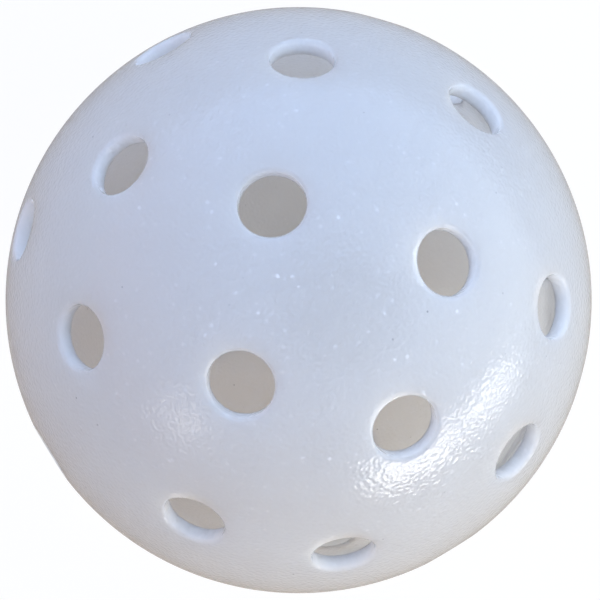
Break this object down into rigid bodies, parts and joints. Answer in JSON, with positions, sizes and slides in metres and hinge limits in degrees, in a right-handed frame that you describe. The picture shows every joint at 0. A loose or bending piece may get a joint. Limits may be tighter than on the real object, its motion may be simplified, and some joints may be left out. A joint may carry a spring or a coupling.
{
  "type": "pickleball",
  "caption": "Hollow hard plastic ball with round holes drilled through its wall, made of two half shells welded rim to rim, for paddle play outdoors.",
  "frame": {"origin": "centre of the ball", "axes": "+Z through the pole of the half that faces the camera in the picture, square to the weld plane; +X towards the nominal place of one hole of the ring nearest that pole"},
  "size_m": [0.074, 0.074, 0.074],
  "materials": {
    "upper_plastic": "satin, with a fine orange-peel grain",
    "lower_plastic": "satin, with a fine orange-peel grain",
    "weld_plastic": "satin, trimmed flush outside"
  },
  "bodies": {
    "root": {"upper_half_shell": "upper_plastic", "lower_half_shell": "lower_plastic", "weld_bead": "weld_plastic"}
  },
  "joints": []
}
